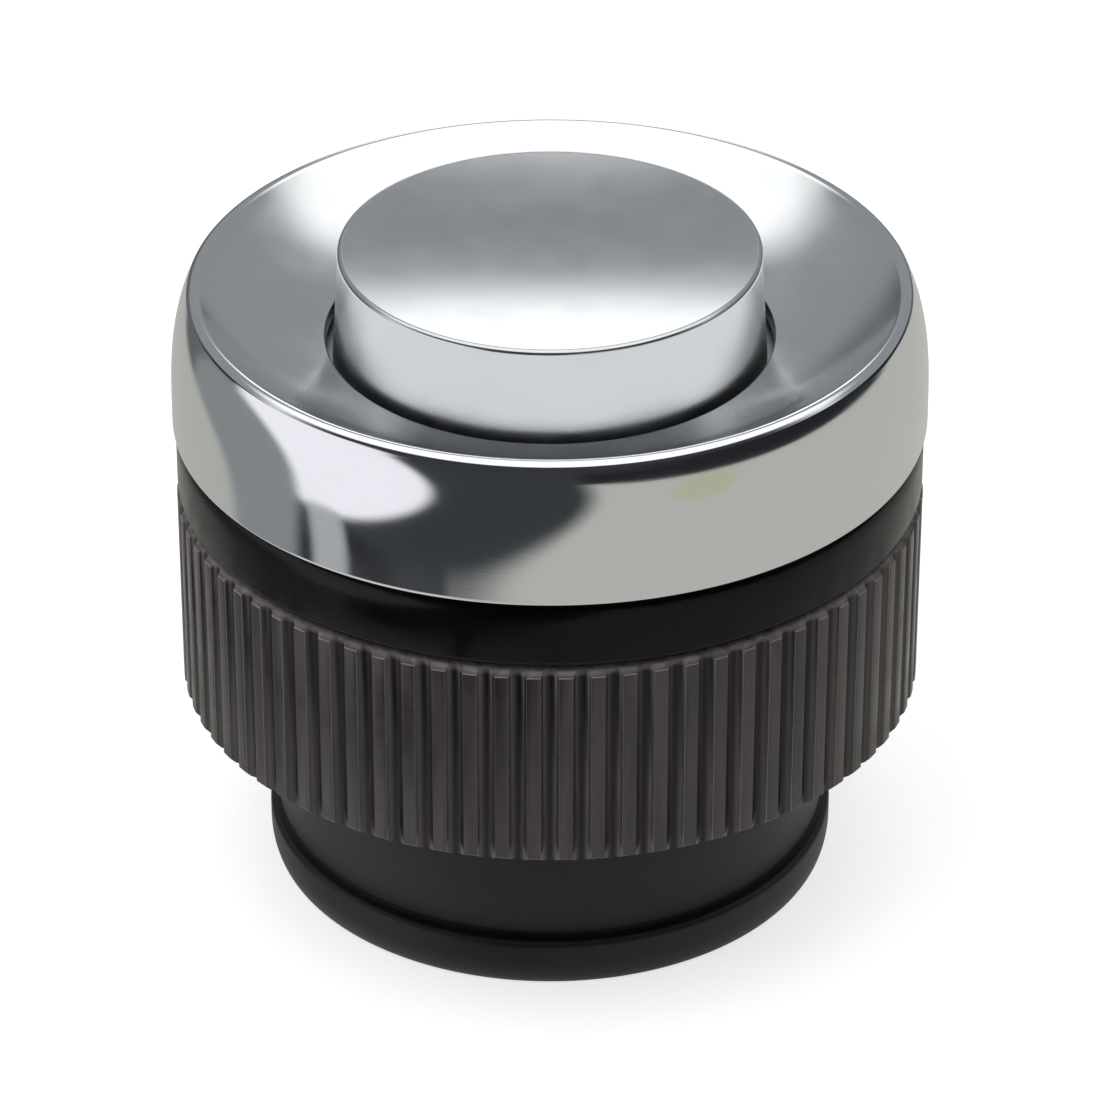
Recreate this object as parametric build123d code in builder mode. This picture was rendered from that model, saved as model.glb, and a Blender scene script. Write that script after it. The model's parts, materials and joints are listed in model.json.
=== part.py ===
from build123d import *
import math
import os

os.makedirs("parts", exist_ok=True)

# Round bell push for a panel or door frame, standing on its rear boot.
# Millimetres, +Z towards the finger, origin at the middle of the boot's underside.
# Every radius is reached from the threaded barrel by the wall, step or overhang named for it.

# Fits
slip_fit = 0.05        # radial, between pieces that are pushed or screwed together
running_fit = 0.06     # radial, on the guided stem and on the nut's thread
stop_gap = 0.05        # air between a moving piece and its stop
seat_gap = 0.1         # air left behind a seat so that only the visible one closes

# Movement of the button
press_travel = 1.6

# Housing: flange, threaded barrel below it, spigot for the bezel above it
barrel_radius = 14.9
flange_overhang = 3.45
flange_height = 3.3
flange_round = 1.1
flange_edge_round = 0.15
barrel_wall = 1.6
barrel_length = 10.4
barrel_end_chamfer = 0.5
spigot_height = 3.6
spigot_chamfer = 0.3
well_clearance = 0.4
web_rise = 1.1
web_thickness = 1.4
guide_radius = 3.6
guide_height = 2.0
post_radius = 2.2
post_inset = 2.6

# Bezel ring
bezel_overhang = 0.15
bezel_wall = 3.1
bezel_taper = 0.9
bezel_height = 7.34
bezel_straight = 1.4
bezel_foot_chamfer = 0.2
bezel_rim_round = 0.36
dish_width = 6.67
dish_sag = 0.5
lip_thickness = 0.65
button_gap = 0.43
oring_section = 0.47
oring_rise = 1.6
gasket_thickness = 0.5
gasket_width = 1.3

# Button cap and plunger
cap_draft = 0.18
cap_height = 6.85
cap_dish = 0.8
cap_crown = 1.2
cap_wall = 1.15
cap_rim_round = 0.12
cap_flange_width = 1.6
cap_flange_thickness = 1.0
head_thickness = 1.6
snap_wire = 0.35
snap_gap_angle = 40
stem_radius = 2.5
stem_flat = 2.1
tail_radius = 1.5
tail_flat = 1.2
tail_end = 0.85
guide_run = 1.0
clip_thickness = 0.5
clip_radius = 2.4
clip_groove_depth = 0.4
clip_mouth = 1.9

# Springs
spring_wire = 0.35
spring_radius = 4.7
spring_turns = 5
bridge_spring_wire = 0.14
bridge_spring_radius = 1.95
bridge_spring_turns = 3

# Fluted clamping nut and its washer
nut_wall = 3.5
nut_height = 10.8
flute_count = 76
flute_width = 0.87
flute_depth = 0.32
nut_top_chamfer = 0.45
nut_foot_chamfer = 0.22
nut_lead_in = 0.5
washer_inset = 0.5
washer_thickness = 0.3
washer_clearance = 0.1

# Contact base
base_thickness = 3.0
sleeve_wall = 1.2
sleeve_length = 4.0
bead_radius = 0.4
bead_rise = 1.6
stem_pit_radius = 2.2
stem_pit_depth = 1.0

# Contacts and terminals
strip_thickness = 0.6
strip_width = 5.0
strip_bend = 0.65
strip_overrun = 1.4
leg_inset = 1.0
pad_overrun = 3.0
slot_clearance = 0.45
tip_inset = 2.5
tip_radius = 1.3
tip_height = 0.6
tip_chamfer = 0.15
rivet_radius = 0.6
bridge_overrun = 1.5
bridge_width = 4.2
bridge_thickness = 0.6
terminal_inset = 3.6
terminal_shank = 1.25
terminal_depth = 2.4
terminal_head_radius = 2.6
terminal_head_height = 1.8
screw_slot_width = 0.7
screw_slot_depth = 0.9
clamp_side = 5.6
clamp_thickness = 0.5
clamp_corner = 0.6
base_screw_shank = 0.95
base_screw_head_radius = 1.9
base_screw_head_height = 1.3
base_screw_length = 5.0

# Rear boot
boot_step = 1.1
boot_wall = 1.35
boot_height = 10.9
boot_floor = 1.8
boot_top_chamfer = 0.35
boot_lip_proud = 0.44
boot_lip_height = 2.6
boot_toe_in = 0.5
boot_toe_rise = 1.4
boot_groove_depth = 0.25
boot_groove_height = 0.3
boot_lip_round = 0.22
entry_radius = 3.1
entry_collar_width = 1.1
entry_collar_height = 1.0

# Levels, from the boot's underside upwards
barrel_bottom = boot_height
flange_bottom = barrel_bottom + barrel_length
flange_top = flange_bottom + flange_height
spigot_top = flange_top + spigot_height
web_top = flange_bottom + web_rise
web_bottom = web_top - web_thickness
lip_bottom = spigot_top + seat_gap
gasket_bottom = lip_bottom - gasket_thickness
washer_bottom = flange_bottom - washer_thickness
nut_top = washer_bottom
nut_bottom = nut_top - nut_height
cap_flange_top = gasket_bottom - stop_gap
cap_bottom = cap_flange_top - cap_flange_thickness
cap_top = cap_bottom + cap_height
head_top = cap_top - cap_dish - cap_crown
head_bottom = head_top - head_thickness
base_top = barrel_bottom + base_thickness
strip_top = base_top + strip_thickness
tip_top = strip_top + tip_height
bridge_tip_bottom = tip_top + press_travel + stop_gap
bridge_bottom = bridge_tip_bottom + tip_height
bridge_top = bridge_bottom + bridge_thickness
stem_shoulder = web_bottom - guide_run
stem_end = bridge_bottom - clip_thickness - tail_end
pad_bottom = barrel_bottom - strip_thickness
clamp_bottom = pad_bottom - clamp_thickness

# Radii, outwards and inwards from the barrel
flange_radius = barrel_radius + flange_overhang
bezel_radius = flange_radius + bezel_overhang
bezel_rim_radius = bezel_radius - bezel_taper
hole_radius = bezel_rim_radius - dish_width
spigot_radius = bezel_radius - bezel_wall
cap_skirt_radius = hole_radius - button_gap
cap_radius = cap_skirt_radius - cap_draft
cap_bore = cap_radius - cap_wall
cap_flange_radius = cap_skirt_radius + cap_flange_width
well_radius = cap_flange_radius + well_clearance
nut_bore = barrel_radius + running_fit
nut_radius = barrel_radius + nut_wall
washer_radius = nut_radius - washer_inset
barrel_bore = barrel_radius - barrel_wall
base_radius = barrel_bore - slip_fit
boot_radius = barrel_radius - boot_step
boot_lip_radius = boot_radius + boot_lip_proud
boot_bore = boot_radius - boot_wall
sleeve_radius = boot_bore - slip_fit
sleeve_bore = sleeve_radius - sleeve_wall

# Places across the base
post_reach = sleeve_bore - post_inset
strip_leg_x = sleeve_bore - leg_inset
terminal_x = strip_leg_x - terminal_inset
pad_inner_x = terminal_x - pad_overrun
tip_x = terminal_x - tip_inset
strip_inner_x = tip_x - strip_overrun
sides = {"left": -1, "right": 1}


def flatted_round(radius, flat):
    """Round section with two flats, which keeps a sliding part from turning."""
    with BuildSketch(mode=Mode.PRIVATE) as section:
        Circle(radius)
        Rectangle(2 * radius, 2 * flat, mode=Mode.INTERSECT)
    return section.sketch


def coil(wire, radius, turns, bottom, top):
    """Open coil that fills the space between two levels."""
    height = top - bottom - 2 * wire
    with BuildPart() as made:
        with BuildLine(Plane.XY.offset(bottom + wire)) as path:
            Helix(pitch=height / turns, height=height, radius=radius)
        with BuildSketch(Plane(path.line @ 0, z_dir=path.line % 0)):
            Circle(wire)
        sweep(is_frenet=True)
    return made.part


def slotted_screw(head_radius, head_height, shank, length, seat, slot_width, slot_depth):
    """Pan-head screw that points up, with the underside of its head at the seat level."""
    with BuildPart() as made:
        with BuildSketch(Plane.XY.offset(seat - head_height)):
            Circle(head_radius)
        extrude(amount=head_height)
        fillet(made.edges().group_by(Axis.Z)[0], head_height / 3)
        with BuildSketch(Plane.XY.offset(seat)):
            Circle(shank)
        extrude(amount=length)
        chamfer(made.edges().group_by(Axis.Z)[-1], shank / 4)
        with BuildSketch(Plane.XY.offset(seat - head_height)):
            Rectangle(2 * head_radius, slot_width)
        extrude(amount=slot_depth, mode=Mode.SUBTRACT)
    return made.part


# Housing: one moulding, its black flange is the smooth band under the bezel
oring_centre = flange_top + oring_rise
oring_bore = spigot_radius - 2 * oring_section
with BuildPart() as housing:
    with BuildSketch(Plane.XZ) as housing_section:
        with BuildLine():
            Polyline(
                (0, web_bottom),
                (barrel_bore, web_bottom),
                (barrel_bore, barrel_bottom),
                (barrel_radius - barrel_end_chamfer, barrel_bottom),
                (barrel_radius, barrel_bottom + barrel_end_chamfer),
                (barrel_radius, flange_bottom),
                (flange_radius - flange_edge_round, flange_bottom),
            )
            RadiusArc(
                (flange_radius - flange_edge_round, flange_bottom),
                (flange_radius, flange_bottom + flange_edge_round),
                -flange_edge_round,
            )
            Line(
                (flange_radius, flange_bottom + flange_edge_round),
                (flange_radius, flange_top - flange_round),
            )
            EllipticalCenterArc(
                (flange_radius - flange_round / 2, flange_top - flange_round),
                flange_round / 2,
                flange_round,
                start_angle=0,
                arc_size=90,
            )
            Polyline(
                (flange_radius - flange_round / 2, flange_top),
                (spigot_radius, flange_top),
                (spigot_radius, spigot_top - spigot_chamfer),
                (spigot_radius - spigot_chamfer, spigot_top),
                (well_radius, spigot_top),
                (well_radius, web_top),
                (guide_radius, web_top),
                (guide_radius, web_top + guide_height),
                (0, web_top + guide_height),
                (0, web_bottom),
            )
        make_face()
        with Locations((spigot_radius, oring_centre)):
            Rectangle(4 * oring_section, 2 * oring_section + 2 * slip_fit, mode=Mode.SUBTRACT)
    revolve(axis=Axis.Z)
    with BuildSketch(Plane.XY.offset(base_top)):
        with Locations((0, post_reach), (0, -post_reach)):
            Circle(post_radius)
    extrude(until=Until.NEXT)
    with BuildSketch(Plane.XY.offset(base_top)):
        with Locations((0, post_reach), (0, -post_reach)):
            Circle(base_screw_shank + slip_fit)
    extrude(amount=base_screw_length, mode=Mode.SUBTRACT)
    with BuildSketch(Plane.XY.offset(web_bottom)):
        add(flatted_round(stem_radius + running_fit, stem_flat + running_fit))
    extrude(amount=web_thickness + guide_height, mode=Mode.SUBTRACT)
housing.part.label = "housing"
export_step(housing.part, "parts/housing.step")

# Bezel: turned ring with a bulged side and a top dished down to the button hole
bezel_top = flange_top + bezel_height
hole_edge = lip_bottom + lip_thickness
side_start = flange_top + bezel_foot_chamfer + bezel_straight
side_run = bezel_radius - bezel_rim_radius
side_rise = bezel_top - side_start
side_arc = (side_run**2 + side_rise**2) / (2 * side_run)
dish_middle = ((bezel_rim_radius + hole_radius) / 2, (bezel_top + hole_edge) / 2)
dish_slope = math.atan2(bezel_top - hole_edge, bezel_rim_radius - hole_radius)
dish_point = (
    dish_middle[0] + dish_sag * math.sin(dish_slope),
    dish_middle[1] - dish_sag * math.cos(dish_slope),
)
bezel_bore = spigot_radius + slip_fit
with BuildPart() as bezel_ring:
    with BuildSketch(Plane.XZ) as bezel_section:
        with BuildLine():
            Polyline(
                (bezel_bore, flange_top),
                (bezel_radius - bezel_foot_chamfer, flange_top),
                (bezel_radius, flange_top + bezel_foot_chamfer),
                (bezel_radius, side_start),
            )
            RadiusArc((bezel_radius, side_start), (bezel_rim_radius, bezel_top), -side_arc)
            ThreePointArc((bezel_rim_radius, bezel_top), dish_point, (hole_radius, hole_edge))
            Polyline(
                (hole_radius, hole_edge),
                (hole_radius, lip_bottom),
                (bezel_bore, lip_bottom),
                (bezel_bore, flange_top),
            )
        make_face()
        fillet(bezel_section.vertices().sort_by(Axis.Y)[-1], bezel_rim_round)
    revolve(axis=Axis.Z)
bezel_ring.part.label = "bezel_ring"
export_step(bezel_ring.part, "parts/bezel_ring.step")

# Ring seal between spigot and bezel
with BuildPart() as bezel_oring:
    with BuildSketch(Plane.XZ):
        with Locations((spigot_radius - oring_section, oring_centre)):
            Circle(oring_section)
    revolve(axis=Axis.Z)
bezel_oring.part.label = "bezel_oring"
export_step(bezel_oring.part, "parts/bezel_oring.step")

# Flat gasket under the bezel's lip, which the button's flange comes up against
gasket_inner = hole_radius + seat_gap
with BuildPart() as lip_gasket:
    with BuildSketch(Plane.XY.offset(gasket_bottom)):
        Circle(gasket_inner + gasket_width)
        Circle(gasket_inner, mode=Mode.SUBTRACT)
    extrude(amount=gasket_thickness)
lip_gasket.part.label = "lip_gasket"
export_step(lip_gasket.part, "parts/lip_gasket.step")

# Button cap: turned, with a dished top, a slightly tapered side and a retaining flange
snap_level = head_bottom - snap_wire
cap_dish_radius = (cap_radius**2 + cap_dish**2) / (2 * cap_dish)
with BuildPart() as button_cap:
    with BuildSketch(Plane.XZ) as cap_section:
        with BuildLine():
            Polyline(
                (0, cap_top - cap_dish),
                (0, head_top),
                (cap_bore, head_top),
                (cap_bore, cap_bottom),
                (cap_flange_radius, cap_bottom),
                (cap_flange_radius, cap_flange_top),
                (cap_skirt_radius, cap_flange_top),
                (cap_radius, cap_top),
            )
            RadiusArc((cap_radius, cap_top), (0, cap_top - cap_dish), cap_dish_radius)
        make_face()
        fillet(cap_section.vertices().sort_by(Axis.Y)[-1], cap_rim_round)
        with Locations((cap_bore, snap_level)):
            Circle(snap_wire + slip_fit, mode=Mode.SUBTRACT)
    revolve(axis=Axis.Z)
button_cap.part.label = "button_cap"
export_step(button_cap.part, "parts/button_cap.step")

# Plunger: head in the cap, flatted stem through the web, thinner tail for the bridge
head_radius = cap_bore - slip_fit
spring_seat_depth = head_thickness / 3
spring_top = head_bottom + spring_seat_depth
with BuildPart() as plunger:
    with BuildSketch(Plane.XY.offset(head_bottom)):
        Circle(head_radius)
    extrude(amount=head_thickness)
    with BuildSketch(Plane.XY.offset(head_bottom)):
        Circle(spring_radius + 2 * spring_wire)
        Circle(spring_radius - 2 * spring_wire, mode=Mode.SUBTRACT)
    extrude(amount=spring_seat_depth, mode=Mode.SUBTRACT)
    with BuildSketch(Plane.XY.offset(stem_shoulder)):
        add(flatted_round(stem_radius, stem_flat))
    extrude(amount=head_bottom - stem_shoulder)
    with BuildSketch(Plane.XY.offset(stem_end)):
        add(flatted_round(tail_radius, tail_flat))
    extrude(amount=stem_shoulder - stem_end)
    chamfer(plunger.edges().group_by(Axis.Z)[0], tail_radius / 6)
    with BuildSketch(Plane.XY.offset(bridge_bottom - clip_thickness)):
        Circle(2 * tail_radius)
        Circle(tail_radius - clip_groove_depth, mode=Mode.SUBTRACT)
    extrude(amount=clip_thickness, mode=Mode.SUBTRACT)
plunger.part.label = "plunger"
export_step(plunger.part, "parts/plunger.step")

# Wire ring that snaps in under the plunger's head
with BuildPart() as cap_snap_ring:
    with BuildSketch(Plane.XZ):
        with Locations((cap_bore, snap_level)):
            Circle(snap_wire)
    revolve(axis=Axis.Z, revolution_arc=360 - snap_gap_angle)
cap_snap_ring.part.label = "cap_snap_ring"
export_step(cap_snap_ring.part, "parts/cap_snap_ring.step")

# Springs: one lifts the button, one holds the bridge down on its clip
return_spring = coil(spring_wire, spring_radius, spring_turns, web_top, spring_top)
return_spring.label = "return_spring"
export_step(return_spring, "parts/return_spring.step")

bridge_spring = coil(
    bridge_spring_wire, bridge_spring_radius, bridge_spring_turns, bridge_top, stem_shoulder
)
bridge_spring.label = "bridge_spring"
export_step(bridge_spring, "parts/bridge_spring.step")

# Retaining clip in the tail's groove, open towards the back
with BuildPart() as bridge_clip:
    with BuildSketch(Plane.XY.offset(bridge_bottom - clip_thickness)):
        Circle(clip_radius)
        Circle(tail_radius - clip_groove_depth + slip_fit, mode=Mode.SUBTRACT)
        with Locations((0, clip_radius)):
            Rectangle(clip_mouth, 2 * clip_radius, mode=Mode.SUBTRACT)
    extrude(amount=clip_thickness)
bridge_clip.part.label = "bridge_clip"
export_step(bridge_clip.part, "parts/bridge_clip.step")

# Contact bridge: a bar with round ends, keyed on the tail's flats
with BuildPart() as contact_bridge:
    with BuildSketch(Plane.XY.offset(bridge_bottom)):
        SlotOverall(2 * (tip_x + bridge_overrun), bridge_width)
        add(flatted_round(tail_radius + slip_fit, tail_flat + slip_fit), mode=Mode.SUBTRACT)
        with Locations((tip_x, 0), (-tip_x, 0)):
            Circle(rivet_radius + slip_fit, mode=Mode.SUBTRACT)
    extrude(amount=bridge_thickness)
contact_bridge.part.label = "contact_bridge"
export_step(contact_bridge.part, "parts/contact_bridge.step")

# Contact base: moulded disc in the barrel's end, with a sleeve that carries the boot
bead_level = barrel_bottom - sleeve_length + bead_rise
slot_width = strip_thickness + 2 * slot_clearance
slot_x = strip_leg_x - slot_clearance + slip_fit
with BuildPart() as contact_base:
    with BuildSketch(Plane.XZ):
        with BuildLine():
            Polyline(
                (0, base_top),
                (0, barrel_bottom),
                (sleeve_bore, barrel_bottom),
                (sleeve_bore, barrel_bottom - sleeve_length),
                (sleeve_radius, barrel_bottom - sleeve_length),
                (sleeve_radius, barrel_bottom),
                (base_radius, barrel_bottom),
                (base_radius, base_top),
                close=True,
            )
        make_face()
        with Locations((sleeve_radius, bead_level)):
            Circle(bead_radius)
    revolve(axis=Axis.Z)
    with BuildSketch(Plane.XY.offset(base_top)):
        Circle(stem_pit_radius)
    extrude(amount=-stem_pit_depth, mode=Mode.SUBTRACT)
    for side in sides.values():
        with BuildSketch(Plane.XY.offset(barrel_bottom)):
            with Locations((side * slot_x, 0)):
                Rectangle(slot_width, strip_width + 2 * slip_fit)
            with Locations((side * terminal_x, 0)):
                Circle(terminal_shank + slip_fit)
        extrude(amount=base_thickness, mode=Mode.SUBTRACT)
        with BuildSketch(Plane.XY.offset(barrel_bottom)):
            with Locations((0, side * post_reach)):
                Circle(base_screw_shank + slip_fit)
        extrude(amount=base_thickness, mode=Mode.SUBTRACT)
        with BuildSketch(Plane.XY.offset(barrel_bottom)):
            with Locations((0, side * post_reach)):
                Circle(base_screw_head_radius + slip_fit)
        extrude(amount=base_screw_head_height, mode=Mode.SUBTRACT)
contact_base.part.label = "contact_base"
export_step(contact_base.part, "parts/contact_base.step")

# Two screws that hold the base to the housing's posts
base_screw = slotted_screw(
    base_screw_head_radius,
    base_screw_head_height,
    base_screw_shank,
    base_screw_length,
    barrel_bottom + base_screw_head_height,
    screw_slot_width,
    base_screw_head_height / 2,
)
with BuildPart() as base_screws:
    with Locations((0, post_reach, 0), (0, -post_reach, 0)):
        add(base_screw)
base_screws.part.label = "base_screws"
export_step(base_screws.part, "parts/base_screws.step")

# Contact rivets, strips, clamp plates and terminal screws, one set on each side
terminal_screw = slotted_screw(
    terminal_head_radius,
    terminal_head_height,
    terminal_shank,
    clamp_thickness + strip_thickness + terminal_depth,
    clamp_bottom,
    screw_slot_width,
    screw_slot_depth,
)
strip_upper = base_top + strip_thickness / 2
strip_lower = barrel_bottom - strip_thickness / 2

for name, side in sides.items():
    with BuildPart() as fixed_contact:
        with BuildLine(Plane.XZ) as strip_path:
            FilletPolyline(
                (side * strip_inner_x, strip_upper),
                (side * strip_leg_x, strip_upper),
                (side * strip_leg_x, strip_lower),
                (side * pad_inner_x, strip_lower),
                radius=strip_bend,
            )
        with BuildSketch(Plane(strip_path.line @ 0, x_dir=(0, 1, 0), z_dir=strip_path.line % 0)):
            Rectangle(strip_width, strip_thickness)
        sweep()
        with BuildSketch(Plane.XY.offset(base_top)):
            with Locations((side * tip_x, 0)):
                Circle(rivet_radius + slip_fit)
        extrude(amount=strip_thickness, mode=Mode.SUBTRACT)
        with BuildSketch(Plane.XY.offset(pad_bottom)):
            with Locations((side * terminal_x, 0)):
                Circle(terminal_shank + slip_fit)
        extrude(amount=strip_thickness, mode=Mode.SUBTRACT)
    fixed_contact.part.label = f"fixed_contact_{name}"
    export_step(fixed_contact.part, f"parts/fixed_contact_{name}.step")

    with BuildPart() as contact_tip:
        with BuildSketch(Plane.XY.offset(base_top)):
            with Locations((side * tip_x, 0)):
                Circle(rivet_radius)
        extrude(amount=strip_thickness)
        with BuildSketch(Plane.XY.offset(strip_top)):
            with Locations((side * tip_x, 0)):
                Circle(tip_radius)
        extrude(amount=tip_height)
        chamfer(contact_tip.edges().group_by(Axis.Z)[-1], tip_chamfer)
    contact_tip.part.label = f"contact_tip_{name}"
    export_step(contact_tip.part, f"parts/contact_tip_{name}.step")

    with BuildPart() as bridge_tip:
        with BuildSketch(Plane.XY.offset(bridge_tip_bottom)):
            with Locations((side * tip_x, 0)):
                Circle(tip_radius)
        extrude(amount=tip_height)
        chamfer(bridge_tip.edges().group_by(Axis.Z)[0], tip_chamfer)
        with BuildSketch(Plane.XY.offset(bridge_bottom)):
            with Locations((side * tip_x, 0)):
                Circle(rivet_radius)
        extrude(amount=bridge_thickness)
    bridge_tip.part.label = f"bridge_tip_{name}"
    export_step(bridge_tip.part, f"parts/bridge_tip_{name}.step")

    with BuildPart() as clamp_washer:
        with BuildSketch(Plane.XY.offset(clamp_bottom)):
            with Locations((side * terminal_x, 0)):
                RectangleRounded(clamp_side, clamp_side, clamp_corner)
                Circle(terminal_shank + slip_fit, mode=Mode.SUBTRACT)
        extrude(amount=clamp_thickness)
    clamp_washer.part.label = f"clamp_washer_{name}"
    export_step(clamp_washer.part, f"parts/clamp_washer_{name}.step")

    with BuildPart() as placed_screw:
        with Locations((side * terminal_x, 0, 0)):
            add(terminal_screw)
    placed_screw.part.label = f"terminal_screw_{name}"
    export_step(placed_screw.part, f"parts/terminal_screw_{name}.step")

# Washer that slides along the barrel in front of the nut
with BuildPart() as thrust_washer:
    with BuildSketch(Plane.XY.offset(washer_bottom)):
        Circle(washer_radius)
        Circle(barrel_radius + washer_clearance, mode=Mode.SUBTRACT)
    extrude(amount=washer_thickness)
thrust_washer.part.label = "thrust_washer"
export_step(thrust_washer.part, "parts/thrust_washer.step")

# Clamping nut: flutes run out through the chamfer at the top, which scallops its edge
flute_cutter = ((flute_width / 2) ** 2 + flute_depth**2) / (2 * flute_depth)
flute_centre = nut_radius - flute_depth + flute_cutter
with BuildPart() as knurled_nut:
    with BuildSketch(Plane.XZ):
        with BuildLine():
            Polyline(
                (nut_bore, nut_bottom + nut_lead_in),
                (nut_bore + nut_lead_in, nut_bottom),
                (nut_radius - nut_foot_chamfer, nut_bottom),
                (nut_radius, nut_bottom + nut_foot_chamfer),
                (nut_radius, nut_top - nut_top_chamfer),
                (nut_radius - nut_top_chamfer, nut_top),
                (nut_bore + nut_lead_in, nut_top),
                (nut_bore, nut_top - nut_lead_in),
                close=True,
            )
        make_face()
    revolve(axis=Axis.Z)
    with BuildSketch(Plane.XY.offset(nut_bottom)):
        with PolarLocations(flute_centre, flute_count):
            Circle(flute_cutter)
    extrude(amount=nut_height, mode=Mode.SUBTRACT)
knurled_nut.part.label = "knurled_nut"
export_step(knurled_nut.part, "parts/knurled_nut.step")

# Rear boot: pushed over the sleeve, with a rounded lip below a fine groove
groove_bottom = boot_lip_height
groove_top = boot_lip_height + boot_groove_height
with BuildPart() as rear_boot:
    with BuildSketch(Plane.XZ):
        with BuildLine():
            Polyline(
                (boot_bore, boot_floor),
                (entry_radius + entry_collar_width, boot_floor),
                (entry_radius + entry_collar_width, boot_floor + entry_collar_height),
                (entry_radius, boot_floor + entry_collar_height),
                (entry_radius, 0),
                (boot_lip_radius - boot_toe_in, 0),
            )
            EllipticalCenterArc(
                (boot_lip_radius - boot_toe_in, boot_toe_rise),
                boot_toe_in,
                boot_toe_rise,
                start_angle=-90,
                arc_size=90,
            )
            Line(
                (boot_lip_radius, boot_toe_rise),
                (boot_lip_radius, groove_bottom - boot_lip_round),
            )
            RadiusArc(
                (boot_lip_radius, groove_bottom - boot_lip_round),
                (boot_lip_radius - boot_lip_round, groove_bottom),
                -boot_lip_round,
            )
            Polyline(
                (boot_lip_radius - boot_lip_round, groove_bottom),
                (boot_radius - boot_groove_depth, groove_bottom),
                (boot_radius - boot_groove_depth, groove_top - boot_groove_depth / 2),
                (boot_radius, groove_top),
                (boot_radius, boot_height - boot_top_chamfer),
                (boot_radius - boot_top_chamfer, boot_height),
                (boot_bore, boot_height),
                (boot_bore, boot_floor),
            )
        make_face()
        with Locations((sleeve_radius, bead_level)):
            Circle(bead_radius + slip_fit, mode=Mode.SUBTRACT)
    revolve(axis=Axis.Z)
rear_boot.part.label = "rear_boot"
export_step(rear_boot.part, "parts/rear_boot.step")
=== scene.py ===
"""Round bell push for a door or panel: its finishes, modelled detail, studio and camera.

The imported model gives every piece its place. Lengths are in millimetres, apart from the studio's
and the weld distances, and are turned to metres where a mesh or the camera is made.
"""
import json
import logging
import math
from dataclasses import dataclass, field
from enum import Enum
from typing import Any, Mapping, Sequence

import bpy
from mathutils import Matrix, Vector

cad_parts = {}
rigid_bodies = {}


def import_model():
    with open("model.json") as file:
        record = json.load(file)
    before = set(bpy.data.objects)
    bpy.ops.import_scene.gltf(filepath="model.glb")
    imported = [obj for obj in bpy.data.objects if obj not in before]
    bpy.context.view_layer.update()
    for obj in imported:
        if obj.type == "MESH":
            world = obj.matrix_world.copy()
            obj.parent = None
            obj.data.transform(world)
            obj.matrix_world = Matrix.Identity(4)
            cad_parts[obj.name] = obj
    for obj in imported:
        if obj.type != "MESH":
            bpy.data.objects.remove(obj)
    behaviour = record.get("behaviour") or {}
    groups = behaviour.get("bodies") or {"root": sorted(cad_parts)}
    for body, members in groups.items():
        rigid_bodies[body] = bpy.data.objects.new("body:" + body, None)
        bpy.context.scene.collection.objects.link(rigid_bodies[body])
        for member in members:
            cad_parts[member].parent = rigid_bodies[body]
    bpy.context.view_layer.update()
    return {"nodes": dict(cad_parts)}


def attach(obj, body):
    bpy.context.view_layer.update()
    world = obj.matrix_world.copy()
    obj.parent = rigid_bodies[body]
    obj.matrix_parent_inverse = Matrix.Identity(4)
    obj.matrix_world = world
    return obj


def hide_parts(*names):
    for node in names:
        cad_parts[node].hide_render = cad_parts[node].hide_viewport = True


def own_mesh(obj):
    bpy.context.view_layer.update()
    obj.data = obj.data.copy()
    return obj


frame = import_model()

MM = 0.001
NOISE_SPAN = (0.3, 0.7)  # where nearly all of a noise lies
QUARTER_SAG = 0.29  # rise of a quarter arc over its chord, as a share of its radius
SMOOTH_ANGLE = math.radians(32)  # faces that meet at less are shaded as one
COIL_ANGLE = math.radians(40)  # the same on a wound bar or wire
FLAT_ANGLE = math.radians(0.5)  # faces that meet at less are made one
WELD_TURNED, WELD_COPIED, WELD_WOUND = 5e-7, 1e-6, 1e-7  # metres between points made one
LOG = logging.getLogger("bell_push")

Pair = tuple[float, float]
Colour = tuple[float, float, float, float]
Tree = bpy.types.NodeTree
Node = bpy.types.Node
Socket = bpy.types.NodeSocket
Piece = bpy.types.Object


def linear(code: str, strength: float = 1.0) -> Colour:
    """Turns an sRGB hex colour to linear light.

    Args:
        code: Colour as six hex digits after a hash.
        strength: Factor on the linear values.

    Returns:
        Red, green, blue and full alpha.
    """
    channels = (int(code[i:i + 2], 16) / 255 for i in (1, 3, 5))
    red, green, blue = (
        c / 12.92 if c <= 0.04045 else ((c + 0.055) / 1.055) ** 2.4 for c in channels
    )
    return red * strength, green * strength, blue * strength, 1.0


def add_node(
    tree: Tree,
    kind: str,
    values: Mapping[Any, Any] | None = None,
    links: Mapping[Any, Socket | Node] | None = None,
    **settings: Any,
) -> Node:
    """Adds a node with its fields, socket values and incoming links.

    Args:
        tree: Node tree that gets the node.
        kind: Blender's name of the node's type, after its ShaderNode.
        values: Socket name or number, with the value it is set to.
        links: Socket name or number, with the output that feeds it, or a node for its first.
        **settings: Fields of the node itself.

    Returns:
        The new node.
    """
    made = tree.nodes.new(f"ShaderNode{kind}")
    for name, setting in settings.items():
        setattr(made, name, setting)
    for socket, value in (values or {}).items():
        made.inputs[socket].default_value = value
    for socket, source in (links or {}).items():
        output = source.outputs[0] if isinstance(source, Node) else source
        tree.links.new(output, made.inputs[socket])
    return made


def between(edges: Pair, ends: Pair = (0.0, 1.0), unit: float = 1.0) -> dict[str, float]:
    """Gives a range map's values: from between two edges, in a unit, to between two ends."""
    names = ("From Min", "From Max", "To Min", "To Max")
    return dict(zip(names, (edges[0] * unit, edges[1] * unit, *ends)))


# Finishes


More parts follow.
